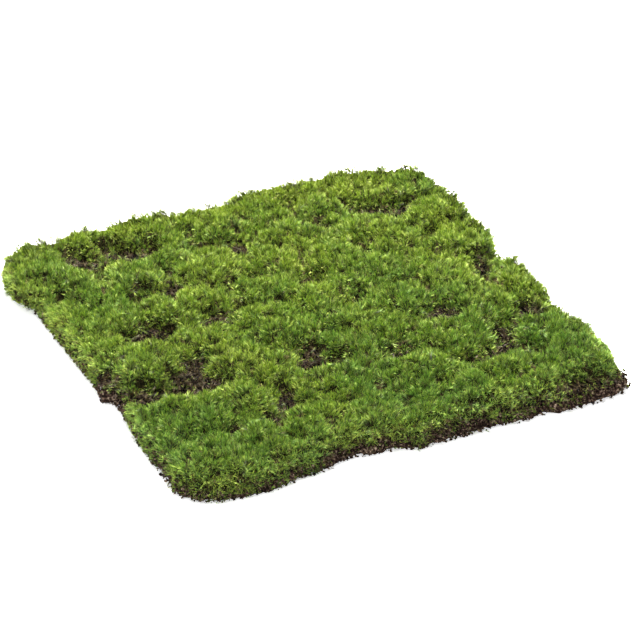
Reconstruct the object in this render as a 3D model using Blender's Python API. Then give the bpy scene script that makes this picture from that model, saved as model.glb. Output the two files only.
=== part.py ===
"""A clump of cushion moss, lifted in one square with the thin pad of peat that it grew on.

The pad lies flat on Z = 0. Each moss cushion is its own dome-shaped colony that sits on the pad, and each
dome reaches the tips of its shoots. All lengths are in millimetres until metres() turns them round.
"""

import math

import bmesh
import bpy
from mathutils import Vector, noise

PEAT_THICKNESS = 10.0
PEAT_RINGS = ((0.0, 1.5), (3.0, 0.0), (7.0, 1.5), (PEAT_THICKNESS, 4.0))  # height, how far worn back
SEAT_GAP = 0.3  # clearance between the peat and the underside of a cushion
CREASE = 0.8  # clear width of the crease between two cushions
HOLLOW_BITE = 6  # power of the cosine that shapes a hollow's bite: 1 is a straight cut, more is a notch
LEAST_FACING = 0.05  # cosine below which a border lies too far aside to matter
ROUNDING = 20  # power of the soft minimum that rounds a cushion's outline: higher is sharper
SEGMENTS = 16
DOME_RINGS = ((1.0, 0.0), (1.0, 0.45), (0.86, 0.80), (0.50, 0.96))  # shares of the way out and up
LUMP_SIZE = 16.0  # wavelength of the lumps on a cushion
LUMP_DEPTH = 0.12  # depth of the lumps, as a share of the cushion's height

# The worn outline of the peat, anticlockwise from the front left corner.
PEAT_OUTLINE = (
    (-151, -136), (-143, -148), (-130, -154), (-105, -157), (-90, -156), (-76, -152),
    (-62, -152), (-46, -146), (-33, -146), (-20, -149), (-7, -149), (4, -155), (32, -154),
    (60, -153), (75, -155), (90, -153), (102, -157), (131, -156), (147, -154), (157, -149),
    (153, -130), (157, -113), (158, -94), (149, -70), (146, -47), (146, -12), (141, -3),
    (145, 20), (149, 47), (149, 108), (140, 125), (124, 140), (97, 149), (64, 144), (20, 147),
    (2, 142), (-41, 144), (-98, 149), (-125, 146), (-143, 141), (-151, 130), (-152, 112),
    (-151, 40), (-150, -12), (-153, -22), (-146, -28), (-147, -50), (-150, -75), (-150, -100),
)

# How far the moss spreads, anticlockwise from the front left: short of the peat's rim along the front, and
# leaning out past it at the back, at the right and most of all at the back left corner.
MOSS_OUTLINE = (
    (-150, -132), (-142, -145), (-118, -153), (-95, -153), (-74, -148), (-46, -144), (-12, -147),
    (20, -151), (75, -151), (96, -147), (124, -144), (149, -148), (156, -130), (160, -113),
    (161, -90), (153, -68), (155, -40), (155, -10), (148, 4), (151, 20), (156, 47), (155, 112),
    (145, 131), (127, 146), (97, 155), (64, 152), (20, 153), (2, 149), (-41, 152), (-98, 156),
    (-119, 151), (-146, 149), (-159, 135), (-165, 116), (-162, 98), (-153, 80), (-151, 40),
    (-147, 14), (-141, -5), (-140, -30), (-143, -52), (-147, -100),
)

# Each cushion as centre X, centre Y, greatest radius and height above the peat, in rows from the back.
CUSHION_ROWS = (
    (
        (-137, 119, 43, 15), (-103, 140, 30, 13), (-54, 138, 36, 14), (-6, 126, 33, 13),
        (24, 138, 30, 13), (62, 143, 30, 14), (103, 135, 33, 13), (134, 125, 35, 14),
    ),
    (
        (-118, 84, 32, 12), (-85, 88, 32, 13), (-50, 104, 27, 11), (25, 111, 34, 11),
        (66, 117, 30, 12), (84, 81, 33, 12), (135, 84, 32, 13),
    ),
    (
        (-141, 64, 28, 11), (-79, 41, 32, 13), (-50, 45, 27, 11), (-34, 77, 32, 14),
        (8, 70, 30, 11), (43, 84, 30, 11), (46, 57, 30, 13), (95, 58, 29, 11),
    ),
    (
        (-118, 42, 31, 12), (-135, 20, 29, 11), (-12, 33, 32, 12), (13, 13, 30, 12),
        (57, 26, 34, 12), (99, 27, 27, 11), (130, 34, 33, 13),
    ),
    (
        (-123, -15, 34, 14), (-70, -5, 35, 11), (-25, -4, 35, 13), (20, -19, 30, 12),
        (61, -8, 31, 12), (104, -6, 30, 12), (141, -26, 30, 12),
    ),
    (
        (-64, -38, 32, 13), (9, -50, 31, 12), (37, -38, 30, 12), (76, -64, 34, 12),
        (114, -42, 30, 12),
    ),
    (
        (-134, -86, 31, 10), (-110, -78, 33, 13), (-76, -74, 32, 11), (-48, -58, 30, 12),
        (-20, -87, 34, 12), (36, -98, 35, 13), (139, -88, 34, 12),
    ),
    (
        (-122, -131, 36, 13), (-89, -130, 32, 12), (-48, -127, 34, 13), (-8, -127, 32, 12),
        (22, -131, 30, 11), (54, -132, 32, 13), (92, -125, 35, 13), (133, -123, 36, 14),
    ),
)

# The hollows between cushions, where the peat lies bare: centre X, centre Y and radius, from the back.
HOLLOWS = (
    (-116, 140, 2), (-117, 123, 4), (-87, 134, 6), (-75, 118, 7), (-60, 122, 4), (-104, 124, 3),
    (-28, 109, 7), (-12, 100, 5), (-2, 93, 4), (75, 137, 4), (50, 132, 3), (87, 116, 5),
    (92, 101, 5), (114, 142, 4), (118, 96, 7), (56, 101, 5), (17, 86, 4), (-105, 92, 3),
    (-140, 81, 3), (-63, 84, 3), (-70, 65, 6), (-89, 60, 4), (-119, 60, 3), (143, 64, 3),
    (121, 55, 4), (-28, 53, 4), (-8, 53, 3), (84, 43, 3), (24, 37, 4), (-34, 27, 3),
    (-104, 20, 9), (-88, 20, 5), (-56, 16, 5), (80, 9, 4), (137, 16, 5), (39, 2, 3),
    (-86, -20, 5), (-104, -35, 6), (-112, -49, 7), (-99, -53, 6), (-130, -43, 5), (-83, -45, 3),
    (-12, -44, 3), (-5, -60, 5), (-30, -60, 4), (52, -50, 3), (42, -68, 5), (30, -73, 5),
    (79, -44, 3), (129, -14, 3), (133, -52, 5), (138, -66, 5), (104, -78, 7), (88, -98, 5),
    (144, -104, 3), (-57, -88, 5), (-70, -105, 5), (-103, -106, 5), (-22, -107, 3), (-70, -130, 4),
    (34, -128, 2), (118, -104, 2),
)

PEAT_COLOUR = (0.060, 0.040, 0.030, 1.0)
PEAT_ROUGHNESS = 0.95
MOSS_COLOUR = (0.150, 0.250, 0.035, 1.0)
MOSS_ROUGHNESS = 0.70
MILLIMETRES = 1000.0  # in a metre
SHARP_ANGLE = 50  # degrees between two faces, above which the edge stays sharp


def metres(x, y, z):
    return Vector((x, y, z)) / MILLIMETRES


def clear_scene():
    for thing in list(bpy.data.objects):
        bpy.data.objects.remove(thing)


def plain_material(name, colour, roughness):
    made = bpy.data.materials.new(name)
    made.use_nodes = True
    shader = made.node_tree.nodes["Principled BSDF"]
    shader.inputs["Base Color"].default_value = colour
    shader.inputs["Roughness"].default_value = roughness
    shader.inputs["Metallic"].default_value = 0.0
    return made


def lofted(name, rings, look, apex=None):
    """A closed solid through rings of points, lowest first, with a flat cap below and a cap or apex above."""
    shape = bmesh.new()
    loops = [[shape.verts.new(metres(*point)) for point in ring] for ring in rings]
    count = len(loops[0])
    shape.faces.new(reversed(loops[0]))
    for low, high in zip(loops, loops[1:]):
        for i in range(count):
            after = (i + 1) % count
            shape.faces.new((low[i], low[after], high[after], high[i]))
    if apex is None:
        shape.faces.new(loops[-1])
    else:
        top = shape.verts.new(metres(*apex))
        for i in range(count):
            shape.faces.new((loops[-1][i], loops[-1][(i + 1) % count], top))
    bmesh.ops.recalc_face_normals(shape, faces=shape.faces)
    mesh = bpy.data.meshes.new(name)
    shape.to_mesh(mesh)
    shape.free()
    mesh.shade_smooth()
    mesh.set_sharp_from_angle(angle=math.radians(SHARP_ANGLE))
    mesh.materials.append(look)
    made = bpy.data.objects.new(name, mesh)
    bpy.context.scene.collection.objects.link(made)
    return made


def peat_pad(look):
    """The slab of peat: flat below, flat above, with worn shoulders round both rims."""
    rings = []
    for height, inset in PEAT_RINGS:
        ring = []
        for x, y in PEAT_OUTLINE:
            shrink = 1.0 - inset / math.hypot(x, y)
            ring.append((x * shrink, y * shrink, height))
        rings.append(ring)
    return lofted("peat_pad", rings, look)


def distance_to_edge(x, y, dx, dy):
    """How far it is from (x, y) to the moss's outline, in the direction (dx, dy)."""
    nearest = math.inf
    for (ax, ay), (bx, by) in zip(MOSS_OUTLINE, MOSS_OUTLINE[1:] + MOSS_OUTLINE[:1]):
        ex, ey = bx - ax, by - ay
        across = dx * ey - dy * ex
        if across == 0:
            continue
        along_ray = ((ax - x) * ey - (ay - y) * ex) / across
        along_edge = ((ax - x) * dy - (ay - y) * dx) / across
        if along_ray > 0 and 0 <= along_edge <= 1:
            nearest = min(nearest, along_ray)
    return nearest


def reach(cushion, cushions, angle):
    """How far a cushion spreads from its centre in one direction.

    It stops at its own radius, at the moss's outline, or at the crease that it shares with each neighbour,
    which lies where the two cushions' power distances are equal and so is a straight line. Each hollow bites
    into it as well.
    """
    x, y, radius, _ = cushion
    dx, dy = math.cos(angle), math.sin(angle)
    limits = [radius, distance_to_edge(x, y, dx, dy)]
    borders = []
    for other_x, other_y, other_radius, _ in cushions:
        apart = math.hypot(other_x - x, other_y - y)
        if apart > 0:
            crease = (apart**2 + radius**2 - other_radius**2) / (2 * apart) - CREASE / 2
            borders.append((other_x - x, other_y - y, apart, crease, 1))
    for hollow_x, hollow_y, hollow_radius in HOLLOWS:
        apart = math.hypot(hollow_x - x, hollow_y - y)
        borders.append((hollow_x - x, hollow_y - y, apart, apart - hollow_radius, HOLLOW_BITE))
    for across_x, across_y, apart, border, bite in borders:
        facing = (across_x * dx + across_y * dy) / apart
        if facing > LEAST_FACING:
            limits.append(border / facing**bite)
    return sum(limit**-ROUNDING for limit in limits) ** (-1 / ROUNDING)


def lumpy(x, y, height):
    """The height with the small lumps that a cushion has on top."""
    lump = noise.noise(Vector((x, y, 0.0)) / LUMP_SIZE)
    return height * (1.0 + LUMP_DEPTH * lump)


def moss_cushion(name, cushion, cushions, look):
    x, y, _, height = cushion
    seat = PEAT_THICKNESS + SEAT_GAP
    angles = [2 * math.pi * i / SEGMENTS for i in range(SEGMENTS)]
    spread = [reach(cushion, cushions, angle) for angle in angles]
    rings = []
    for share_out, share_up in DOME_RINGS:
        ring = []
        for angle, out in zip(angles, spread):
            px = x + share_out * out * math.cos(angle)
            py = y + share_out * out * math.sin(angle)
            ring.append((px, py, seat + lumpy(px, py, share_up * height)))
        rings.append(ring)
    return lofted(name, rings, look, apex=(x, y, seat + lumpy(x, y, height)))


def centre_on_origin(things):
    """Moves everything sideways, so that the origin is under the middle of the whole clump."""
    corners = [vertex.co for thing in things for vertex in thing.data.vertices]
    for axis in (0, 1):
        low = min(corner[axis] for corner in corners)
        high = max(corner[axis] for corner in corners)
        for corner in corners:
            corner[axis] -= (low + high) / 2


def main():
    clear_scene()
    peat = plain_material("peat", PEAT_COLOUR, PEAT_ROUGHNESS)
    moss = plain_material("moss", MOSS_COLOUR, MOSS_ROUGHNESS)
    cushions = [cushion for row in CUSHION_ROWS for cushion in row]
    things = [peat_pad(peat)]
    for number, cushion in enumerate(cushions, start=1):
        things.append(moss_cushion(f"moss_cushion_{number:02d}", cushion, cushions, moss))
    centre_on_origin(things)


main()
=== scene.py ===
"""The looks of a clump of cushion moss: shoots and needle leaves on every cushion, crumbly peat under them.

Lengths are in metres, and MM turns millimetres into metres. Every shoot and crumb is plain mesh.
"""

import math

import bmesh
import bpy
import numpy as np
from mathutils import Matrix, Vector, noise
from mathutils.bvhtree import BVHTree
from mathutils.kdtree import KDTree


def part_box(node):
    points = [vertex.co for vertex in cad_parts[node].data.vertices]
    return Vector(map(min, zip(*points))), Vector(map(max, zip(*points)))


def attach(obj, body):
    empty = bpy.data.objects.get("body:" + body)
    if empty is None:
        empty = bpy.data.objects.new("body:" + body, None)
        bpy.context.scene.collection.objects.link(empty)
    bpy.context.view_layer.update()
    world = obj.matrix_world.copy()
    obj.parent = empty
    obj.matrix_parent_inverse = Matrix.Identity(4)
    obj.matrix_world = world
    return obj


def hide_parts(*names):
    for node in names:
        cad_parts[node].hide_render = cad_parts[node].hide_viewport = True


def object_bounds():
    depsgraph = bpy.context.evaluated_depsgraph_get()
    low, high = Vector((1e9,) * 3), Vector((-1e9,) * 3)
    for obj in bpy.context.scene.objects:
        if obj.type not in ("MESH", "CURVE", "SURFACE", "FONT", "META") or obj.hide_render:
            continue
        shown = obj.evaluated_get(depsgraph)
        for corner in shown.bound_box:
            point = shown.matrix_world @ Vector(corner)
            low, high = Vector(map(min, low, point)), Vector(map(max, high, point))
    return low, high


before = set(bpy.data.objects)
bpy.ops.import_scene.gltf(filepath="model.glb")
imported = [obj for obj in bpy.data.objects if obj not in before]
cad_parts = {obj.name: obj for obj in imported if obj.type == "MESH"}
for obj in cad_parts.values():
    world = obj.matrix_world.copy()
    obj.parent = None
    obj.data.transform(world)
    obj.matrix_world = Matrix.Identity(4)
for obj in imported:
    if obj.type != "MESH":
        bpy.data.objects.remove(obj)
cad_low, cad_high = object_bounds()

MM = 0.001
rng = np.random.default_rng(20)
noise.seed_set(20)

# The skin of the moss, as a grid of heights over the whole mat
PITCH = 1.0 * MM
MARGIN = 8 * MM
LEVEL = 7.0  # pitches, over which the general level of the moss is taken
LEVEL_SHARE = 0.66  # how far each cushion is drawn to that level
LUMPS = ((17 * MM, 3.4 * MM), (7.0 * MM, 2.4 * MM))  # size and height of the lumps in the skin
HOLLOW_SIDE = (0.4 * MM, 5.0 * MM)  # a hollow's side starts and ends this far out from a cushion
HOLLOW_FLOOR = 1.5 * MM  # height of the tips over the peat in a hollow
BOWL = 6.0  # pitches, how far round a hollow the moss is sunk
BOWL_DEPTH = 1.9  # how steeply it sinks
BOWL_FROM = 0.06  # how open a place is before the moss there sinks
BOWL_MOST = 0.9
OPEN_GAP = 1.2 * MM  # a place further than this from a cushion is bare
EDGE_SHUT = 9.0  # pitches, how far in from the mat's edge the hollows close
BACK_SHUT = 1.7  # and how many times as far at the back
SHUT_GAIN = 2.6
SHUT_FROM = 0.1
WORN_RIM = 3.5 * MM  # the peat counts as part of the mat down to this far under its top
BACK_FROM = 92 * MM  # y, from which a place is at the back
RIGHT_FROM = (115 * MM, -70 * MM)  # x and y, from which a place is at the right
NOTCH_BLUR = 7.0  # pitches, the size of the notches in the outline that close up
NOTCH_FULL = 0.33  # how much mat there is round a notch that closes, at the back and the right
NOTCH_PART = 0.54  # and elsewhere
EDGE_BLUR = 6.0  # pitches, how far in from the outline a place is near the edge
NEAR_EDGE = 0.5
OUTLINE_BLUR = 2.5  # pitches, over which the outline itself is softened
SKIN_BLUR = 1.2
FALL_BLUR = 2.6
FALL_FOOT = 0.3  # the skin's slope at the outline is towards this share of the peat's height
LEAST_COVER = 0.02  # these two keep a division by nought away
LEAST_WEIGHT = 0.05
FAR_BACK = (95 * MM, 30 * MM)  # y, where the taller moss starts, and over how far it comes in
FAR_RIGHT = (120 * MM, 20 * MM)  # x, the same
FAR_SHARE = 0.25  # how much more the taller moss is levelled
FAR_LIFT = 3.4 * MM  # how much taller the moss stands along the back and the right of the mat
LIFT_FROM = -20 * MM  # y, in front of which there is no lift
EDGE_DROP = ((-100 * MM, 50 * MM), (0.50, 0.05))  # y, and the share of height lost at the edge there
LEFT_DROP = 0.62  # and the share lost at the left
LEFT_FROM = (-110 * MM, 110 * MM)  # x and y, the corner from which that holds
LEFT_FADE = 20 * MM

# The shoots
SHOOT_PITCH = 2.1 * MM
SHOOT_JITTER = 0.55
SHOOT_UP = 0.15  # how much shoots turn from the skin's normal to upright
EDGE_INSET = 0.54  # how far in from the mat's edge the outermost shoots stand, as a share of moss round them
HOLLOW_BARE = (6 * MM, 0.50)  # how wide a gap is as bare as it gets, and the share of shoots lost there
OPEN_BARE = (1.5, 0.16, 0.45)  # the same for the bowl round a hollow: gain, start and most
LEAVES_PER_SHOOT = 16
LEAF_LENGTH = (4.8 * MM, 9.0 * MM)
LEAF_WIDTH = (0.32 * MM, 0.54 * MM)
LEAF_LEAN = (4.0, 50.0)  # degrees between a leaf and its shoot
LEAN_SPREAD = 8  # degrees
LEAN_FOOT = 0.6  # share of that lean below the leaf's knee
LEAN_TIP = 1.25  # and above it
LEAF_TURN = 2.399963  # radians from one leaf to the next round the shoot
WHOLE_TURN = 6.28
LEAF_KNEE = 0.62  # share of the leaf's length below its knee
LEAF_END = 0.38  # and above it
LEAF_BACK = 0.85  # how far down the shoot a leaf's foot is, as a share of its length
RANK_BACK = 1.5  # mm, and how much further down for the lowest leaf
LEAF_ROLL = 0.3
LEAF_LOW = 0.2 * MM  # no leaf goes lower than this
SHOOT_TILT = 19.0  # degrees, the spread of shoots about the skin's own normal
COMB_SIZE = 8 * MM  # shoots this close to each other lean the same way
COMB = 0.85
DEPTH_JITTER = 2.6 * MM
WALL_INSET = 1.4 * MM  # how far inside a cushion's outer wall its shoots top out
WALL_STEEP = 0.5  # a face whose normal rises less than this is a wall
WALL_CLEAR = 4  # mm, how far out from it there has to be no moss
WALL_LEAN = 0.8  # its shoots lean out and up alike
WALL_BACK = 3  # mm in from the wall, where the skin is read that its shoots stay under
WALL_UNDER = (0.5 * MM, 3 * MM)  # how far under it
THIN_SIZE = 7.5 * MM  # worn patches: their size, the noise from which they start, and how far they sink
THIN_FROM = 0.12
THIN_DEPTH = 3.2 * MM
THIN_BARE = (3.5, 0.66)  # gain and most of the share of shoots lost in them
THIN_FADE = 3
THATCH_DEPTH = 5.6 * MM  # the dark mass of old stems, darkened further as painted shade, lies this far under the skin
THATCH_INSET = 4.0 * MM  # and this far in from a cushion's walls
MAT_STEP = 3  # pitches between the points of the dark mat that joins the cushions
MAT_EDGE = 0.6  # how much of the moss's outline there has to be round a point of it
MAT_SUNK = 1.0 * MM  # its underside is this far below the top of the peat
MAT_LEAST = 0.3 * MM  # the least that it is thick
THATCH_ROUGH = ((5 * MM, 0.9 * MM), (2 * MM, 0.7 * MM))  # size and depth of its matted relief
EDGE_PITCH = 2.1 * MM  # between the shoots on the mat's outer edge
EDGE_UP = 0.75  # how much they turn upright
EDGE_REACH = (1.0 * MM, 3.0 * MM)  # how far they stand out
EDGE_SIZE = 0.95
GAP_FADE = 9 * MM  # over this much of a gap, shoots get smaller and more of them are dead
GAP_DEAD = 0.45
GAP_SIZE = 0.55

# The tones of the leaves: 0 is cool green, LIVE_TONES warm green, and those above it are dead straw
LIVE_TONES = 0.86
DEAD_FROM = LIVE_TONES + 0.07
DEAD_TO = 0.98
ALL_DEAD = 2.0  # the tone given to a shoot that is dead
TONE = 0.46
TONE_BROAD = (17.0, 0.30)  # per metre, and how much it changes the tone
TONE_SMALL = (75.0, 0.26)
TONE_APART = (7.0, 3.0, 1.0)  # keeps the two patterns from lining up
TONE_BACK_PAINTED_LIGHT = (0.115, 0.03, 0.22)  # y where it starts, over how far it comes in, and how much warmer and brighter it is: painted light along the back of the mat
TONE_FRONT_PAINTED_SHADE = (-0.05, 0.06, 0.20)  # the same towards the front, and how much cooler and darker it is: painted shade along the front of the mat
TONE_SPREAD = 0.30
TONE_END = 0.02  # live leaves keep this far from the ends of their tones
STRAY_DEAD = 0.04  # share of dead leaves on a live shoot
LEAF_U = (0.0, -0.010, 0.010, 0.0)  # for foot, left, right and tip
LEAF_V = (0.02, 0.62, 0.62, 1.0)  # the same
LEAF_PALE = 0.46  # the least share of the way to the pale end of the colours that a leaf's tip gets
SHOOT_PALE = 0.82  # and that a whole shoot gets

# Where the moss hangs down over the sides of the peat: a box (low x, low y, high x, high y) and the share
# of the side that it hides. The first box that a place is in counts. A share over 1 leaves nothing bare.
SIDE_COVER = (
    (-200 * MM, -48 * MM, -130 * MM, -8 * MM, 0.10),
    (-200 * MM, -140 * MM, -138 * MM, -105 * MM, 0.45),
    (-60 * MM, -200 * MM, -25 * MM, -130 * MM, 0.10),
    (-200 * MM, -200 * MM, -60 * MM, -130 * MM, 0.90),
    (-25 * MM, -200 * MM, 10 * MM, -130 * MM, 0.55),
    (10 * MM, -200 * MM, 60 * MM, -130 * MM, 0.25),
    (60 * MM, -200 * MM, 105 * MM, -130 * MM, 0.40),
    (105 * MM, -200 * MM, 200 * MM, -130 * MM, 0.03),
    (-200 * MM, -200 * MM, 200 * MM, 200 * MM, 1.35),
)

RIM_RISE = 4.5 * MM  # the hanging moss reaches this far up over the peat, to meet the moss on top
RIM_COVER = 0.5  # where at least this share of the side is hidden
HANG_SIZE = 12 * MM  # the uneven lower edge of the hanging moss
HANG_FLAT = 0.3  # how much less that edge changes with height
HANG = 0.7
HANG_PITCH = 1.3 * MM
HANG_FULL = 0.92  # share of the shoots that stand above that edge
HANG_STRAY = 0.10  # and below it
HANG_UP = 0.9
HANG_SPREAD = 0.28
HANG_REACH = (1.2 * MM, 3.4 * MM)
HANG_DEAD = 0.12
HANG_SIZES = (0.75, 0.25)  # of the shoots at the ground, and how much more at the top
HANG_LEAVES = 9

# The dead stems
LITTER_COUNT = 1700
LITTER_LIFT = (0.4 * MM, 5 * MM)
LITTER_UP = 0.8
LITTER_EDGE = 0.5  # how far in from the mat's edge they lie
LITTER_PITCH = 3.0 * MM
LITTER_REACH = (0.2 * MM, 1.2 * MM)
LITTER_OUT = 0.5
LITTER_SPREAD = 0.8
LITTER_DEAD = 0.72
LITTER_TONE = 0.45  # of those that aren't dead
LITTER_SIZE = 0.80
LITTER_LEAVES = 4
LITTER_GIRTH = 0.62

# The peat
PEAT_SEGMENTS = 1024
PEAT_LEVELS = (0.0, 0.6, 1.5, 2.5, 3.5, 4.5, 5.5, 6.5, 7.5, 8.5, 9.4, 9.9)  # mm, heights of its rings
PEAT_ROUGH = ((9 * MM, 3.0 * MM), (3.6 * MM, 2.0 * MM), (1.7 * MM, 0.8 * MM))  # size and depth of its relief
PEAT_LEAST = 0.05  # mm, the lowest level at which the peat's side is looked for
PEAT_DRAWN = 0.9 * MM  # how far its sides are drawn in, to leave room for the relief
PEAT_TOP_ROUGH = 0.5
PEAT_RINGS = (0.975, 0.07, 0.5)  # each ring inward as a share of the last: first, how much less, and least
PEAT_CORE = 8  # points in the innermost ring
SIDE_LEVEL = 3  # the ring of points that gives the way outward
SIDE_SPAN = 3  # segments to either side
CRUMB_PITCH = 1.45 * MM
CRUMB_SIZE = (0.45 * MM, 1.7 * MM)
CRUMB_OUT = (-0.2 * MM, 2.2 * MM)
CRUMB_GAP = 1.0 * MM
CRUMB_EDGE = 0.45
CRUMB_COUNT = 4200
CRUMB_LIFT = (-0.2 * MM, 0.7 * MM)
CRUMB_SUNK = 0.9  # no crumb on the ground is sunk by more than the rest of its size
CRUMB_ROUGH = 0.28
CRUMB_UNEVEN = (0.65, 1.15)

# The lights: place, size, power and colour
KEY = ((0.35, 0.85, 1.15), 0.17, 196.0, (1.0, 0.98, 0.93))
FILL = ((-1.2, -1.0, 1.4), 1.4, 12.0, (0.93, 0.97, 1.0))

# The camera
VIEW_AZIMUTH = math.radians(-25.4)
VIEW_ELEVATION = math.radians(31.9)
VIEW_DISTANCE = 1.962
VIEW_LENS = 168.75
VIEW_SHIFT = (0.0217, 0.0170)
VIEW_ASIDE = 2.5 * MM  # how far the view's middle is left of the peat's
VIEW_BEHIND = 4.0 * MM  # and behind it
SENSOR = 36.0


# ---------------------------------------------------------------- meshes


def add_triangles(name, points, triangles, look, uv=None):
    """A piece from arrays of points and triangles, with an optional UV pair for each point."""
    mesh = bpy.data.meshes.new(name)
    mesh.vertices.add(len(points))
    mesh.vertices.foreach_set("co", np.asarray(points, np.float32).ravel())
    mesh.loops.add(3 * len(triangles))
    mesh.loops.foreach_set("vertex_index", np.asarray(triangles, np.int32).ravel())
    mesh.polygons.add(len(triangles))
    mesh.polygons.foreach_set("loop_start", np.arange(0, 3 * len(triangles), 3, dtype=np.int32))
    mesh.polygons.foreach_set("loop_total", np.full(len(triangles), 3, np.int32))
    if uv is not None:
        layer = mesh.uv_layers.new(name="OFBake")
        corner_uv = np.asarray(uv, np.float32)[np.asarray(triangles).ravel()]
        layer.data.foreach_set("uv", corner_uv.ravel())
    mesh.materials.append(look)
    mesh.update(calc_edges=True)
    mesh.validate()
    piece = bpy.data.objects.new(name, mesh)
    bpy.context.scene.collection.objects.link(piece)
    return piece


def unit(vectors):
    return vectors / np.maximum(np.linalg.norm(vectors, axis=-1, keepdims=True), 1e-9)


# ---------------------------------------------------------------- materials


class Look:
    """A material's node tree, with short calls to add and join nodes."""

    def __init__(self, name):
        self.material = bpy.data.materials.new(name)
        self.material.use_nodes = True
        self.nodes = self.material.node_tree.nodes
        self.links = self.material.node_tree.links
        self.shader = self.nodes["Principled BSDF"]

    def add(self, kind, **values):
        node = self.nodes.new(kind)
        for key, value in values.items():
            if hasattr(node, key):
                setattr(node, key, value)
            else:
                node.inputs[key.replace("_", " ").title()].default_value = value
        return node

    def join(self, source, target):
        self.links.new(source, target)

    def ramp(self, source, stops):
        """A colour ramp of (place, (r, g, b)) stops over a value."""
        node = self.nodes.new("ShaderNodeValToRGB")
        elements = node.color_ramp.elements
        while len(elements) > 1:
            elements.remove(elements[-1])
        elements[0].position = stops[0][0]
        elements[0].color = (*stops[0][1], 1.0)
        for place, colour in stops[1:]:
            element = elements.new(place)
            element.color = (*colour, 1.0)
        self.join(source, node.inputs["Fac"])
        return node.outputs["Color"]

    def spread(self, source, low, high, start=0.0, end=1.0):
        """A value's range from low to high, spread out from start to end."""
        node = self.nodes.new("ShaderNodeMapRange")
        node.inputs["From Min"].default_value = low
        node.inputs["From Max"].default_value = high
        node.inputs["To Min"].default_value = start
        node.inputs["To Max"].default_value = end
        self.join(source, node.inputs["Value"])
        return node.outputs["Result"]

    def mix(self, factor, low, high):
        """Blends two colours by a value."""
        node = self.nodes.new("ShaderNodeMix")
        node.data_type = "RGBA"
        self.join(factor, node.inputs[0])
        self.join(low, node.inputs[6])
        self.join(high, node.inputs[7])
        return node.outputs[2]


def leaf_look():
    """Moss leaves, coloured by their UV: V runs from the dark foot to the tip, and U is the leaf's tone. The
    foot goes near black, partly the leaf's own darker base and partly painted shade deep in the moss. The
    pale tip is partly paler new growth and partly painted light shining through the leaf.

    The tone goes from cool to warm green up to LIVE_TONES, and past that the leaf is dead and straw brown.
    """
    look = Look("moss_leaf")
    place = look.nodes.new("ShaderNodeUVMap")
    place.uv_map = "OFBake"
    parts = look.nodes.new("ShaderNodeSeparateXYZ")
    look.join(place.outputs["UV"], parts.inputs[0])
    along = parts.outputs["Y"]
    # Each ramp runs from a near-black foot to a pale tip. The foot is partly the leaf's own base and partly
    # painted shade. The tip is partly new growth and partly painted light shining through the leaf.
    cool = look.ramp(along, (
        (0.00, (0.005, 0.006, 0.005)), (0.25, (0.018, 0.028, 0.010)), (0.48, (0.100, 0.195, 0.038)),
        (0.75, (0.265, 0.460, 0.080)), (1.00, (0.480, 0.690, 0.170)),
    ))
    warm = look.ramp(along, (
        (0.00, (0.010, 0.009, 0.006)), (0.25, (0.052, 0.056, 0.014)), (0.48, (0.250, 0.320, 0.048)),
        (0.75, (0.560, 0.680, 0.115)), (1.00, (0.840, 0.900, 0.260)),
    ))
    straw = look.ramp(along, (
        (0.00, (0.008, 0.005, 0.003)), (0.40, (0.050, 0.036, 0.015)), (0.75, (0.150, 0.112, 0.042)),
        (1.00, (0.320, 0.250, 0.100)),
    ))
    live = look.mix(look.spread(parts.outputs["X"], 0.0, LIVE_TONES), cool, warm)
    colour = look.mix(look.spread(parts.outputs["X"], LIVE_TONES + 0.03, LIVE_TONES + 0.05), live, straw)
    look.join(colour, look.shader.inputs["Base Color"])
    veins = look.add("ShaderNodeTexNoise", scale=38.0, detail=3.0)
    look.join(place.outputs["UV"], veins.inputs["Vector"])
    bump = look.add("ShaderNodeBump", strength=0.25, distance=0.0001)
    look.join(veins.outputs["Fac"], bump.inputs["Height"])
    look.join(bump.outputs["Normal"], look.shader.inputs["Normal"])
    look.join(look.spread(veins.outputs["Fac"], 0.0, 1.0, 0.42, 0.72), look.shader.inputs["Roughness"])
    look.shader.inputs["Specular IOR Level"].default_value = 0.14
    return look.material


def thatch_and_shade_look():
    """The dark mass of old stems and leaves inside a cushion: their own dark brown, darkened further towards
    black as painted shade in the gaps between the shoots.
    """
    look = Look("moss_thatch")
    place = look.nodes.new("ShaderNodeTexCoord")
    grain = look.add("ShaderNodeTexNoise", scale=900.0, detail=6.0)
    look.join(place.outputs["Object"], grain.inputs["Vector"])
    # The colour runs from near black to dark brown: the old stems' own brown, with painted shade deep
    # between the shoots.
    colour = look.ramp(grain.outputs["Fac"], (
        (0.30, (0.003, 0.003, 0.002)), (0.50, (0.012, 0.011, 0.005)), (0.62, (0.040, 0.033, 0.014)),
        (0.74, (0.110, 0.090, 0.035)),
    ))
    look.join(colour, look.shader.inputs["Base Color"])
    bump = look.add("ShaderNodeBump", strength=0.8, distance=0.0006)
    look.join(grain.outputs["Fac"], bump.inputs["Height"])
    look.join(bump.outputs["Normal"], look.shader.inputs["Normal"])
    look.shader.inputs["Roughness"].default_value = 1.0
    look.shader.inputs["Specular IOR Level"].default_value = 0.0
    return look.material


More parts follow.
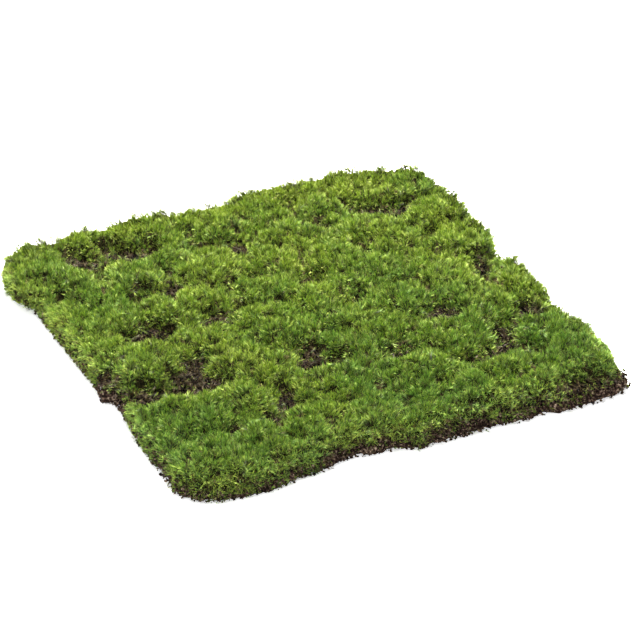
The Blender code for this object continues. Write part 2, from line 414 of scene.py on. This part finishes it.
def peat_look():
    """Crumbly peat: dark red-brown grains with paler specks. It goes near black towards its top as painted
    shade under the moss and on the floor of the hollows.
    """
    look = Look("peat")
    place = look.nodes.new("ShaderNodeTexCoord")
    grain = look.add("ShaderNodeTexNoise", scale=620.0, detail=3.0)
    clods = look.add("ShaderNodeTexVoronoi", scale=420.0)
    look.join(place.outputs["Object"], grain.inputs["Vector"])
    look.join(place.outputs["Object"], clods.inputs["Vector"])
    colour = look.ramp(grain.outputs["Fac"], (
        (0.38, (0.003, 0.002, 0.002)), (0.47, (0.016, 0.009, 0.007)), (0.54, (0.042, 0.025, 0.019)),
        (0.61, (0.105, 0.075, 0.052)), (0.69, (0.260, 0.205, 0.150)),
    ))
    # Painted shade: the top of the peat, under the moss and on the floor of the hollows, goes near black.
    shaded_top = look.ramp(grain.outputs["Fac"], (
        (0.38, (0.001, 0.001, 0.001)), (0.52, (0.006, 0.004, 0.003)), (0.68, (0.038, 0.026, 0.013)),
    ))
    parts = look.nodes.new("ShaderNodeSeparateXYZ")
    look.join(place.outputs["Object"], parts.inputs[0])
    colour = look.mix(look.spread(parts.outputs["Z"], 8.5 * MM, 9.8 * MM), colour, shaded_top)
    look.join(colour, look.shader.inputs["Base Color"])
    bump = look.add("ShaderNodeBump", strength=1.0, distance=0.0012)
    look.join(clods.outputs["Distance"], bump.inputs["Height"])
    look.join(bump.outputs["Normal"], look.shader.inputs["Normal"])
    look.join(look.spread(grain.outputs["Fac"], 0.3, 0.7, 1.0, 0.85), look.shader.inputs["Roughness"])
    look.shader.inputs["Specular IOR Level"].default_value = 0.03
    return look.material


# ---------------------------------------------------------------- the skin of the moss


def blurred(field, sigma):
    """A field smoothed by a Gaussian, sigma in pitches."""
    radius = int(3 * sigma)
    kernel = np.exp(-0.5 * (np.arange(-radius, radius + 1) / sigma) ** 2)
    kernel /= kernel.sum()
    for axis in (0, 1):
        field = np.apply_along_axis(lambda line: np.convolve(line, kernel, mode="same"), axis, field)
    return field


def cover_at(spots):
    """The share of the side that moss hides at each spot."""
    share = np.zeros(len(spots))
    done = np.zeros(len(spots), bool)
    for x0, y0, x1, y1, cover in SIDE_COVER:
        x, y = spots[:, 0], spots[:, 1]
        here = (x > x0) & (x < x1) & (y > y0) & (y < y1) & ~done
        share[here] = cover
        done |= here
    return share


class Skin:
    """Heights of the moss's skin over the mat, its slope, and which cushion each place belongs to."""

    def __init__(self, cushions, pad):
        self.low = np.array(cad_low)[:2] - MARGIN
        high = np.array(cad_high)[:2] + MARGIN
        self.shape = tuple(((high - self.low) / PITCH).astype(int) + 1)
        height, owner = self.drop_rays([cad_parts[name] for name in cushions])
        ground, _ = self.drop_rays([pad])
        self.peat_top = float(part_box("peat_pad")[1][2])
        covered = owner >= 0
        on_pad = ground > self.peat_top - WORN_RIM
        # Notches in the outline between cushions close up.
        self.inside = covered | on_pad
        lines = [low + np.arange(n) * PITCH for low, n in zip(self.low, self.shape)]
        x, y = np.meshgrid(*lines, indexing="ij")
        behind = y > BACK_FROM
        smooth = blurred(self.inside.astype(float), NOTCH_BLUR)
        right = (x > RIGHT_FROM[0]) & (y > RIGHT_FROM[1])
        self.inside |= smooth > np.where(behind | right, NOTCH_FULL, NOTCH_PART)
        self.gap, self.owner = self.nearest(covered, self.inside & ~covered, owner)
        weight = self.inside.astype(float)
        near_edge = np.clip(2 * (1 - blurred(weight, EDGE_BLUR)), 0, 1)
        self.open = blurred(((self.gap > OPEN_GAP) & (near_edge < NEAR_EDGE)).astype(float), BOWL)
        cover = np.maximum(blurred(covered.astype(float), LEVEL), LEAST_COVER)
        level = blurred(np.where(covered, height, 0), LEVEL) / cover
        far = np.maximum((y - FAR_BACK[0]) / FAR_BACK[1], (x - FAR_RIGHT[0]) / FAR_RIGHT[1])
        far = np.clip(far, 0, 1)
        share = LEVEL_SHARE + FAR_SHARE * far
        crest = height * (1 - share) + level * share
        low, high = HOLLOW_SIDE
        fall = np.clip((self.gap - low) / (high - low), 0, 1)
        fall = fall * fall * (3 - 2 * fall)
        wide = np.where(behind, blurred(weight, BACK_SHUT * EDGE_SHUT), blurred(weight, EDGE_SHUT))
        shut = np.clip(SHUT_GAIN * (1 - wide) - SHUT_FROM, 0, 1)
        shut = np.clip(shut * self.side_cover(), 0, 1)
        fall *= 1 - shut
        self.gap *= 1 - shut
        floor = self.peat_top + HOLLOW_FLOOR
        height = np.where(covered, crest, level - fall * (level - floor))
        self.open *= 1 - shut
        height -= (height - floor) * np.clip(BOWL_DEPTH * (self.open - BOWL_FROM), 0, BOWL_MOST)
        height += self.lumps()
        height += FAR_LIFT * far * near_edge * (y > LIFT_FROM)
        self.edge = blurred(self.inside.astype(float), OUTLINE_BLUR)
        drop = np.interp(self.low[1] + np.arange(self.shape[1]) * PITCH, *EDGE_DROP)
        left = np.clip((LEFT_FROM[0] - x) / LEFT_FADE, 0, 1) * np.clip((LEFT_FROM[1] - y) / LEFT_FADE, 0, 1)
        drop = np.maximum(drop[None, :], LEFT_DROP * left)
        height = floor + (height - floor) * (1 - drop * near_edge)
        weights = np.maximum(blurred(weight, SKIN_BLUR), LEAST_WEIGHT)
        self.height = blurred(height * weight, SKIN_BLUR) / weights
        fallen = blurred(np.where(self.inside, self.height, FALL_FOOT * self.peat_top), FALL_BLUR)
        self.slope = np.stack(np.gradient(fallen, PITCH), -1)

    def side_cover(self):
        """The share of the mat's nearest side that moss hides, at each place."""
        grid = np.stack(np.meshgrid(*(np.arange(n) for n in self.shape), indexing="ij"), -1).reshape(-1, 2)
        return cover_at(self.low + grid * PITCH).reshape(self.shape)

    def lumps(self):
        """Small humps that don't follow the cushions."""
        made = np.zeros(self.shape)
        for i in range(self.shape[0]):
            for j in range(self.shape[1]):
                x, y = self.low + PITCH * np.array((i, j))
                for size, rise in LUMPS:
                    made[i, j] += rise * noise.noise(Vector((x / size, y / size, size)))
        return made

    def drop_rays(self, things):
        """At each place, how high a ray from above meets the first of these things, and which one it is."""
        points, faces, index = [], [], []
        for number, thing in enumerate(things):
            start = len(points)
            points.extend(v.co for v in thing.data.vertices)
            for face in thing.data.polygons:
                faces.append([start + i for i in face.vertices])
                index.append(number)
        tree = BVHTree.FromPolygons(points, faces)
        height = np.zeros(self.shape)
        owner = np.full(self.shape, -1)
        down = Vector((0, 0, -1))
        for i in range(self.shape[0]):
            for j in range(self.shape[1]):
                x, y = self.low + PITCH * np.array((i, j))
                spot, _, face, _ = tree.ray_cast(Vector((x, y, 1.0)), down)
                if spot is not None:
                    height[i, j] = spot.z
                    owner[i, j] = index[face]
        return height, owner

    def nearest(self, covered, wanted, owner):
        """For each wanted place, how far the nearest covered place is, and whose it is."""
        places = np.argwhere(covered)
        tree = KDTree(len(places))
        for number, (i, j) in enumerate(places):
            tree.insert((i, j, 0), number)
        tree.balance()
        gap = np.zeros(self.shape)
        owner = owner.copy()
        for i, j in np.argwhere(wanted):
            _, number, far = tree.find((i, j, 0))
            gap[i, j] = far * PITCH
            owner[i, j] = owner[tuple(places[number])]
        return gap, owner

    def read(self, field, spots):
        """A field's value at each spot, from its nearest place."""
        at = np.rint((spots[:, :2] - self.low) / PITCH).astype(int)
        at = np.clip(at, 0, np.array(self.shape) - 1)
        return field[at[:, 0], at[:, 1]]


# ---------------------------------------------------------------- moss


def tone_at(spot):
    """How warm the moss is at a place, from 0 to 1: broad patches, then smaller ones. It is warmer and
    brighter towards the back as painted light, and cooler and darker towards the front as painted shade.
    """
    broad = noise.noise(Vector(spot) * TONE_BROAD[0]) * TONE_BROAD[1]
    small = noise.noise(Vector(spot) * TONE_SMALL[0] + Vector(TONE_APART)) * TONE_SMALL[1]
    # Painted light makes the leaves along the back warmer and brighter. Painted shade makes the leaves along
    # the front cooler and darker.
    behind = min(max((spot[1] - TONE_BACK_PAINTED_LIGHT[0]) / TONE_BACK_PAINTED_LIGHT[1], 0.0), 1.0) * TONE_BACK_PAINTED_LIGHT[2]
    front = min(max((TONE_FRONT_PAINTED_SHADE[0] - spot[1]) / TONE_FRONT_PAINTED_SHADE[1], 0.0), 1.0) * TONE_FRONT_PAINTED_SHADE[2]
    return TONE + broad + small + behind - front


def skin_shoots(skin):
    """Shoots over the whole mat: where each one tops out, its axis, and the gap from it to a cushion."""
    steps = [np.arange(0, n * PITCH, SHOOT_PITCH) for n in skin.shape]
    grid = np.stack(np.meshgrid(*steps, indexing="ij"), -1).reshape(-1, 2)
    spots = skin.low + grid + rng.uniform(-SHOOT_JITTER, SHOOT_JITTER, grid.shape) * SHOOT_PITCH
    inside = skin.read(skin.inside, spots) & (skin.read(skin.edge, spots) > EDGE_INSET)
    gap = skin.read(skin.gap, spots)
    bare = np.clip((gap - OPEN_GAP) / HOLLOW_BARE[0], 0, HOLLOW_BARE[1])
    gain, start, most = OPEN_BARE
    bare = np.maximum(bare, np.clip(gain * (skin.read(skin.open, spots) - start), 0, most))
    worn = np.array([noise.noise(Vector((x, y, 0.3)) / THIN_SIZE) for x, y in spots])
    bare = np.maximum(bare, np.clip((worn - THIN_FROM) * THIN_BARE[0], 0, THIN_BARE[1]))
    kept = inside & (rng.random(len(spots)) > bare)
    spots, gap = spots[kept], gap[kept]
    slope = skin.read(skin.slope, spots)
    normal = unit(np.column_stack([-slope, np.ones(len(spots))]))
    tilt = math.sin(math.radians(SHOOT_TILT))
    comb = np.array([noise.noise_vector(Vector((x, y, 0)) / COMB_SIZE) for x, y in spots]) * COMB
    axes = unit(normal + (0, 0, SHOOT_UP) + comb * (1, 1, 0) + rng.normal(0, tilt, normal.shape))
    height = skin.read(skin.height, spots) - rng.uniform(0, DEPTH_JITTER, len(spots))
    height -= np.clip((worn[kept] - THIN_FROM) * THIN_FADE, 0, 1) * THIN_DEPTH
    return np.column_stack([spots, height]), axes, gap


def wall_shoots(skin, name):
    """Shoots on the outer walls of a cushion, where it overhangs the rim of the peat or stands free."""
    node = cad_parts[name]
    mesh = node.data
    mesh.calc_loop_triangles()
    points = np.array([v.co for v in mesh.vertices])
    corners = np.array([t.vertices for t in mesh.loop_triangles])
    a, b, c = points[corners[:, 0]], points[corners[:, 1]], points[corners[:, 2]]
    face = np.cross(b - a, c - a)
    area = np.linalg.norm(face, axis=1) / 2
    normal = face / np.maximum(2 * area, 1e-12)[:, None]
    area = np.where(np.abs(normal[:, 2]) < WALL_STEEP, area, 0)
    pick = rng.choice(len(area), int(area.sum() / SHOOT_PITCH**2), p=area / area.sum())
    u, v = rng.random((2, len(pick), 1))
    flip = u + v > 1
    u, v = np.where(flip, 1 - u, u), np.where(flip, 1 - v, v)
    spots = a[pick] + u * (b[pick] - a[pick]) + v * (c[pick] - a[pick])
    beyond = spots + normal[pick] * WALL_CLEAR * MM
    free = ~skin.read(skin.inside, beyond)
    spots, out = spots[free], normal[pick][free]
    tilt = math.sin(math.radians(SHOOT_TILT))
    axes = unit(out * WALL_LEAN + (0, 0, WALL_LEAN) + rng.normal(0, tilt, out.shape))
    tops = spots - axes * (WALL_INSET + rng.uniform(0, DEPTH_JITTER, (len(spots), 1)))
    lid = skin.read(skin.height, spots - out * WALL_BACK * MM) - rng.uniform(*WALL_UNDER, len(spots))
    tops[:, 2] = np.minimum(tops[:, 2], lid)
    return tops, axes


def leaves(spots, axes, tones, sizes, per=LEAVES_PER_SHOOT, girth=1.0):
    """Needle leaves round each shoot, as points, triangles and a UV pair for each point.

    A leaf is a bent blade of two triangles, widest at its knee. U is its tone, which varies a little across
    the blade, and V runs from foot to tip.
    """
    shoots = len(spots)
    n = shoots * per
    axis = np.repeat(axes, per, 0)
    side = unit(np.cross(axis, rng.normal(size=(n, 3))))
    turn = np.tile(np.arange(per) * LEAF_TURN, shoots) + np.repeat(rng.random(shoots) * WHOLE_TURN, per)
    forward = unit(np.cross(axis, side))
    across = side * np.cos(turn)[:, None] + forward * np.sin(turn)[:, None]
    rank = np.tile((np.arange(per) + 0.5) / per, shoots)[:, None]
    least, most = LEAF_LEAN
    lean = np.radians(least + (most - least) * rank + rng.normal(0, LEAN_SPREAD, (n, 1)))
    length = rng.uniform(*LEAF_LENGTH, (n, 1)) * np.repeat(sizes, per)[:, None]
    width = rng.uniform(*LEAF_WIDTH, (n, 1)) * girth
    start = unit(axis * np.cos(lean * LEAN_FOOT) + across * np.sin(lean * LEAN_FOOT))
    end = unit(axis * np.cos(lean * LEAN_TIP) + across * np.sin(lean * LEAN_TIP))
    foot = np.repeat(spots, per, 0) - axis * (length * LEAF_BACK + rank * RANK_BACK * MM)
    knee = foot + start * length * LEAF_KNEE
    tip = knee + end * length * LEAF_END
    flat = unit(np.cross(start, axis) + rng.normal(0, LEAF_ROLL, (n, 3)))
    half = flat * width / 2
    points = np.stack([foot, knee - half, knee + half, tip], 1).reshape(-1, 3)
    points[:, 2] = np.maximum(points[:, 2], LEAF_LOW)
    base = np.arange(n)[:, None] * 4
    triangles = np.concatenate([base + (0, 2, 1), base + (1, 2, 3)], 1).reshape(-1, 3)
    tone = np.repeat(tones, per)
    live = np.clip(tone + rng.normal(0, TONE_SPREAD, n), TONE_END, LIVE_TONES - TONE_END)
    dead = (tone > 1) | (rng.random(n) < STRAY_DEAD)
    tone = np.where(dead, rng.uniform(DEAD_FROM, DEAD_TO, n), live)
    u = tone[:, None] + np.array(LEAF_U)
    v = np.array(LEAF_V) * rng.uniform(LEAF_PALE, 1.0, (n, 1))
    v = v * np.repeat(rng.uniform(SHOOT_PALE, 1.0, shoots), per)[:, None]
    return points, triangles, np.stack([u, v], -1).reshape(-1, 2)


def thatch(name, skin, look):
    """The dark inside of a cushion, old stems coloured with painted shade: its own shape, drawn in, kept
    well under the skin, and matted.
    """
    shape = bmesh.new()
    shape.from_mesh(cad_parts[name].data)
    bmesh.ops.subdivide_edges(shape, edges=shape.edges, cuts=1, use_grid_fill=True)
    points = np.array([v.co for v in shape.verts])
    low, high = points.min(0), points.max(0)
    middle = (low + high) / 2
    share = 1 - 2 * THATCH_INSET / (high - low)
    inner = middle + (points - middle) * share
    inner[:, 2] = low[2] + (points[:, 2] - low[2]) * (1 - THATCH_DEPTH / (high[2] - low[2]))
    lid = skin.read(skin.height, inner) - THATCH_DEPTH
    inner[:, 2] = np.minimum(inner[:, 2], np.maximum(lid, low[2]))
    for vertex, spot in zip(shape.verts, inner):
        push = sum(depth * noise.noise(Vector(spot) / size) for size, depth in THATCH_ROUGH)
        above = spot[2] > low[2] + LEAF_LOW
        vertex.co = Vector(spot) + Vector((push, -push, push if above else 0.0))
    mesh = bpy.data.meshes.new(name.replace("cushion", "thatch"))
    shape.to_mesh(mesh)
    shape.free()
    mesh.materials.append(look)
    mesh.shade_flat()
    piece = bpy.data.objects.new(mesh.name, mesh)
    bpy.context.scene.collection.objects.link(piece)
    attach(piece, "root")


def mat(skin, look):
    """The dark mass that joins the cushions, old stems coloured with painted shade: a closed sheet that
    follows the skin from below.
    """
    inside = skin.edge[::MAT_STEP, ::MAT_STEP] > MAT_EDGE
    top = skin.height[::MAT_STEP, ::MAT_STEP] - THATCH_DEPTH
    base = skin.peat_top - MAT_SUNK
    cells = inside[:-1, :-1] & inside[1:, :-1] & inside[:-1, 1:] & inside[1:, 1:]
    number = {}
    points, faces, walls = [], [], []

    def corner(i, j, upper):
        if (i, j, upper) not in number:
            x, y = skin.low + np.array((i, j)) * MAT_STEP * PITCH
            z = base
            if upper:
                push = sum(depth * noise.noise(Vector((x, y, 0)) / size) for size, depth in THATCH_ROUGH)
                z = max(top[i, j] + push, base + MAT_LEAST)
            number[i, j, upper] = len(points)
            points.append((x, y, z))
        return number[i, j, upper]

    def quad(a, b, c, d):
        faces.extend(((a, b, c), (a, c, d)))

    for i, j in np.argwhere(cells):
        ring = ((i, j), (i + 1, j), (i + 1, j + 1), (i, j + 1))
        quad(*(corner(*place, True) for place in ring))
        quad(*(corner(*place, False) for place in reversed(ring)))
        beyond = ((i, j - 1), (i + 1, j), (i, j + 1), (i - 1, j))
        for side, (u, v) in enumerate(beyond):
            if u < 0 or v < 0 or u >= cells.shape[0] or v >= cells.shape[1] or not cells[u, v]:
                a, b = ring[side], ring[(side + 1) % 4]
                quad(corner(*a, False), corner(*b, False), corner(*b, True), corner(*a, True))
                walls.append(points[corner(*a, True)])
    piece = add_triangles("moss_mat", np.array(points), np.array(faces), look)
    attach(piece, "root")
    return np.array(walls)


def edge_shoots(skin, walls):
    """Shoots all the way round the outer edge of the mat: their places, and the way outward at each."""
    rise = walls[:, 2] - (skin.peat_top - MAT_SUNK)
    count = np.rint(rise * MAT_STEP * PITCH / EDGE_PITCH**2).astype(int)
    spots = np.repeat(walls, count, 0)
    spots[:, 2] -= rng.random(len(spots)) * np.repeat(rise, count)
    spots[:, :2] += rng.uniform(-0.5, 0.5, (len(spots), 2)) * MAT_STEP * PITCH
    fall = -np.stack(np.gradient(blurred(skin.edge, OUTLINE_BLUR)), -1)
    away = np.column_stack([skin.read(fall, spots), np.zeros(len(spots))])
    return spots, unit(away)


def moss(leaf, dark):
    """Every cushion's shoots and dark inside, and the mat under them; gives the skin and the mat's walls."""
    names = sorted(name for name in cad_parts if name.startswith("moss_cushion"))
    skin = Skin(names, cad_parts["peat_pad"])
    spots, axes, gap = skin_shoots(skin)
    owner = skin.read(skin.owner, spots)
    for number, name in enumerate(names):
        mine = owner == number
        wall_spots, wall_axes = wall_shoots(skin, name)
        all_spots = np.concatenate([spots[mine], wall_spots])
        all_axes = np.concatenate([axes[mine], wall_axes])
        all_gap = np.concatenate([gap[mine], np.zeros(len(wall_spots))])
        tones = np.array([tone_at(spot) for spot in all_spots])
        dying = rng.random(len(tones)) < np.clip(all_gap / GAP_FADE, 0, GAP_DEAD)
        tones = np.where(dying, ALL_DEAD, tones)
        sizes = np.clip(1 - all_gap / GAP_FADE, GAP_SIZE, 1)
        points, triangles, uv = leaves(all_spots, all_axes, tones, sizes)
        piece = add_triangles(name.replace("cushion", "shoots"), points, triangles, leaf, uv)
        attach(piece, "root")
        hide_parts(name)
        thatch(name, skin, dark)
    walls = mat(skin, dark)
    return skin, walls


# ---------------------------------------------------------------- the sides of the mat


def side_rays():
    """How far out the peat's side is, for each level and each direction from its middle."""
    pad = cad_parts["peat_pad"]
    faces = [tuple(face.vertices) for face in pad.data.polygons]
    tree = BVHTree.FromPolygons([v.co for v in pad.data.vertices], faces)
    angles = np.arange(PEAT_SEGMENTS) * 2 * math.pi / PEAT_SEGMENTS
    out = np.zeros((len(PEAT_LEVELS), PEAT_SEGMENTS))
    for k, level in enumerate(PEAT_LEVELS):
        height = min(max(level, PEAT_LEAST), PEAT_LEVELS[-1]) * MM
        for i, angle in enumerate(angles):
            away = Vector((math.cos(angle), math.sin(angle), 0.0))
            hit, _, _, _ = tree.ray_cast(away + Vector((0, 0, height)), -away)
            out[k, i] = math.hypot(hit.x, hit.y)
    return angles, out


def rough(spot):
    """The relief of the crumbly peat at a place."""
    return sum(depth * noise.noise(Vector(spot) / size) for size, depth in PEAT_ROUGH)


def stitched(outer, inner):
    """Triangles from a ring of points, by number, to a ring inside it that has half as many."""
    made = []
    n = len(inner)
    for i in range(n):
        a, b, c = outer[2 * i], outer[2 * i + 1], outer[(2 * i + 2) % (2 * n)]
        p, q = inner[i], inner[(i + 1) % n]
        made += [(a, b, p), (b, q, p), (b, c, q)]
    return made


def peat_body(look, angles, out):
    """The pad of peat: crumbly sides, a rough top and a flat cut underside, as one closed mesh."""
    points, faces, rings = [], [], []
    for k, level in enumerate(PEAT_LEVELS):
        ring = []
        for i, angle in enumerate(angles):
            spot = Vector((math.cos(angle) * out[k, i], math.sin(angle) * out[k, i], level * MM))
            push = rough(spot) - PEAT_DRAWN
            ring.append(len(points))
            away = Vector((math.cos(angle), math.sin(angle), 0.0))
            points.append(spot + away * push)
        rings.append(ring)
    for low, high in zip(rings, rings[1:]):
        for i in range(PEAT_SEGMENTS):
            after = (i + 1) % PEAT_SEGMENTS
            faces.append((low[i], low[after], high[after]))
            faces.append((low[i], high[after], high[i]))
    for start, top in ((rings[-1], True), (rings[0], False)):
        outer = start
        share, step, least = PEAT_RINGS
        while len(outer) > PEAT_CORE:
            inner = []
            for number in outer[::2]:
                at = points[number]
                spot = Vector((at.x * share, at.y * share, 0.0))
                spot.z = PEAT_LEVELS[-1] * MM + rough(spot) * PEAT_TOP_ROUGH if top else 0.0
                inner.append(len(points))
                points.append(spot)
            turn = stitched(outer, inner)
            faces += turn if top else [tuple(reversed(t)) for t in turn]
            outer = inner
            share = max(share - step, least)
        middle = len(points)
        points.append(Vector((0, 0, PEAT_LEVELS[-1] * MM if top else 0.0)))
        for i in range(len(outer)):
            face = (outer[i], outer[(i + 1) % len(outer)], middle)
            faces.append(face if top else tuple(reversed(face)))
    piece = add_triangles("peat_body", np.array(points), np.array(faces), look)
    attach(piece, "root")
    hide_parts("peat_pad")


def side_spots(angles, out, pitch):
    """Points spread over the peat's sides, and the way outward at each."""
    around = 2 * math.pi * out.mean()
    count = int(around * PEAT_LEVELS[-1] * MM / pitch**2)
    turn = rng.uniform(0, PEAT_SEGMENTS, count)
    rise = rng.uniform(0, 1, count)
    at = turn.astype(int) % PEAT_SEGMENTS
    level = rise * (len(PEAT_LEVELS) - 1)
    row = level.astype(int)
    part = level - row
    heights = np.array(PEAT_LEVELS) * MM
    z = heights[row] * (1 - part) + heights[row + 1] * part
    r = out[row, at] * (1 - part) + out[row + 1, at] * part
    angle = angles[at]
    spots = np.column_stack([np.cos(angle) * r, np.sin(angle) * r, z])
    ring = np.column_stack([np.cos(angles) * out[SIDE_LEVEL], np.sin(angles) * out[SIDE_LEVEL]])
    along = np.roll(ring, -SIDE_SPAN, 0) - np.roll(ring, SIDE_SPAN, 0)
    away = unit(np.column_stack([along[:, 1], -along[:, 0], np.zeros(PEAT_SEGMENTS)]))
    return spots, away[at]


def rim_moss(leaf, skin, walls, angles, out):
    """Moss that hangs down over the sides of the peat, thinner towards the ground, and round the mat."""
    spots, away = side_spots(angles, out, HANG_PITCH)
    cover = cover_at(spots)
    patch = np.array([noise.noise(Vector((x, y, HANG_FLAT * z)) / HANG_SIZE) for x, y, z in spots])
    height = spots[:, 2] / (PEAT_LEVELS[-1] * MM)
    hanging = height > 1 - cover - HANG * patch
    kept = rng.random(len(spots)) < np.where(hanging, HANG_FULL, HANG_STRAY * cover)
    spots, away, height = spots[kept], away[kept], height[kept]
    axes = unit(away + (0, 0, HANG_UP) + rng.normal(0, HANG_SPREAD, away.shape))
    tops = spots + axes * rng.uniform(*HANG_REACH, (len(spots), 1))
    tops[:, 2] += np.where(cover[kept] > RIM_COVER, RIM_RISE * height, 0)
    tones = np.array([tone_at(spot) for spot in spots])
    tones = np.where(rng.random(len(tones)) < HANG_DEAD, ALL_DEAD, tones)
    sizes = HANG_SIZES[0] + HANG_SIZES[1] * height
    upper, way = edge_shoots(skin, walls)
    way = unit(way + (0, 0, EDGE_UP) + rng.normal(0, HANG_SPREAD, way.shape))
    tops = np.concatenate([tops, upper + way * rng.uniform(*EDGE_REACH, (len(upper), 1))])
    axes = np.concatenate([axes, way])
    tones = np.concatenate([tones, np.array([tone_at(spot) for spot in upper])])
    sizes = np.concatenate([sizes, np.full(len(upper), EDGE_SIZE)])
    points, triangles, uv = leaves(tops, axes, tones, sizes, per=HANG_LEAVES)
    piece = add_triangles("moss_rim", points, triangles, leaf, uv)
    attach(piece, "root")


def litter(leaf, skin, angles, out):
    """Dead stems and leaves that lie over the bare peat, in the hollows and on the sides."""
    bare = np.argwhere((skin.gap > OPEN_GAP) & (skin.edge > LITTER_EDGE))
    picked = bare[rng.choice(len(bare), LITTER_COUNT)]
    flat = skin.low + (picked + rng.uniform(-0.5, 0.5, picked.shape)) * PITCH
    lift = rng.uniform(*LITTER_LIFT, len(flat))
    spots = np.column_stack([flat, np.full(len(flat), skin.peat_top) + lift])
    axes = unit(np.column_stack([rng.normal(size=(len(flat), 2)), rng.uniform(0, LITTER_UP, len(flat))]))
    side, away = side_spots(angles, out, LITTER_PITCH)
    side = side + away * rng.uniform(*LITTER_REACH, (len(side), 1))
    side_axes = unit(away * LITTER_OUT + rng.normal(0, LITTER_SPREAD, away.shape))
    spots = np.concatenate([spots, side])
    axes = np.concatenate([axes, side_axes])
    n = len(spots)
    tones = np.where(rng.random(n) < LITTER_DEAD, ALL_DEAD, LITTER_TONE)
    sizes = np.full(n, LITTER_SIZE)
    points, triangles, uv = leaves(spots, axes, tones, sizes, per=LITTER_LEAVES, girth=LITTER_GIRTH)
    piece = add_triangles("dead_stems", points, triangles, leaf, uv)
    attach(piece, "root")


def crumbs(look, skin, angles, out):
    """Crumbs of peat: small uneven lumps on the sides and over the bare floor of the hollows."""
    side, away = side_spots(angles, out, CRUMB_PITCH)
    side = side + away * rng.uniform(*CRUMB_OUT, (len(side), 1))
    bare = np.argwhere((skin.gap > CRUMB_GAP) & (skin.edge > CRUMB_EDGE))
    picked = bare[rng.choice(len(bare), CRUMB_COUNT)]
    flat = skin.low + (picked + rng.uniform(-0.5, 0.5, picked.shape)) * PITCH
    floor = np.column_stack([flat, skin.peat_top + rng.uniform(*CRUMB_LIFT, len(flat))])
    spots = np.concatenate([side, floor])
    n = len(spots)
    least, most = CRUMB_SIZE
    size = rng.uniform(0, 1, n) ** 2 * (most - least) + least
    spots[:, 2] = np.maximum(spots[:, 2], size * CRUMB_SUNK)
    corners = np.array(((1, 0, 0), (0, 1, 0), (-1, 0, 0), (0, -1, 0), (0, 0, 1), (0, 0, -1)), float)
    turned = unit(corners[None] + rng.normal(0, CRUMB_ROUGH, (n, 6, 3)))
    points = spots[:, None] + turned * size[:, None, None] * rng.uniform(*CRUMB_UNEVEN, (n, 6, 1))
    eight = np.array((
        (0, 1, 4), (1, 2, 4), (2, 3, 4), (3, 0, 4), (1, 0, 5), (2, 1, 5), (3, 2, 5), (0, 3, 5),
    ))
    triangles = (np.arange(n)[:, None, None] * 6 + eight[None]).reshape(-1, 3)
    points = points.reshape(-1, 3)
    points[:, 2] = np.maximum(points[:, 2], 0.0)
    piece = add_triangles("peat_crumbs", points, triangles, look)
    piece.data.shade_flat()
    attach(piece, "root")


# ---------------------------------------------------------------- stage


def stage():
    """A white floor under the part."""
    bpy.ops.mesh.primitive_plane_add(size=8.0, location=(0, 0, -0.0002))
    floor = bpy.context.object
    floor.name = "floor"
    look = Look("floor")
    look.shader.inputs["Base Color"].default_value = (0.92, 0.92, 0.91, 1.0)
    look.shader.inputs["Roughness"].default_value = 0.8
    look.shader.inputs["Emission Color"].default_value = (1.0, 1.0, 1.0, 1.0)
    look.shader.inputs["Emission Strength"].default_value = 0.62
    floor.data.materials.append(look.material)


def soft_light(name, place, size, power, colour):
    """A round light that shines at the middle of the part."""
    lamp = bpy.data.lights.new(name, "AREA")
    lamp.shape = "DISK"
    lamp.size = size
    lamp.energy = power
    lamp.color = colour
    made = bpy.data.objects.new(name, lamp)
    made.location = place
    made.rotation_euler = (-Vector(place)).to_track_quat("-Z", "Y").to_euler()
    bpy.context.scene.collection.objects.link(made)


def lights():
    """A sharp key light from the back right, a weak fill from the front left, and a white world."""
    world = bpy.data.worlds.new("studio")
    world.use_nodes = True
    world.node_tree.nodes["Background"].inputs["Color"].default_value = (1.0, 1.0, 1.0, 1.0)
    world.node_tree.nodes["Background"].inputs["Strength"].default_value = 0.73
    bpy.context.scene.world = world
    soft_light("key", *KEY)
    soft_light("fill", *FILL)


def camera():
    """The view from the front left, as far off as a long lens needs."""
    back = Vector((
        math.sin(VIEW_AZIMUTH) * math.cos(VIEW_ELEVATION),
        -math.cos(VIEW_AZIMUTH) * math.cos(VIEW_ELEVATION),
        math.sin(VIEW_ELEVATION),
    ))
    data = bpy.data.cameras.new("camera")
    data.lens = VIEW_LENS
    data.sensor_width = SENSOR
    data.shift_x, data.shift_y = VIEW_SHIFT
    data.clip_start = 0.05
    made = bpy.data.objects.new("camera", data)
    low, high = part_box("peat_pad")
    aim = Vector(((low[0] + high[0]) / 2 - VIEW_ASIDE, (low[1] + high[1]) / 2 + VIEW_BEHIND, 0.0))
    made.location = aim + back * VIEW_DISTANCE
    made.rotation_euler = (-back).to_track_quat("-Z", "Y").to_euler()
    bpy.context.scene.collection.objects.link(made)
    bpy.context.scene.camera = made


def main():
    leaf, dark, peat = leaf_look(), thatch_and_shade_look(), peat_look()
    skin, walls = moss(leaf, dark)
    angles, out = side_rays()
    peat_body(peat, angles, out)
    rim_moss(leaf, skin, walls, angles, out)
    litter(leaf, skin, angles, out)
    crumbs(peat, skin, angles, out)
    stage()
    lights()
    camera()
    scene = bpy.context.scene
    scene.view_settings.view_transform = "Standard"


main()
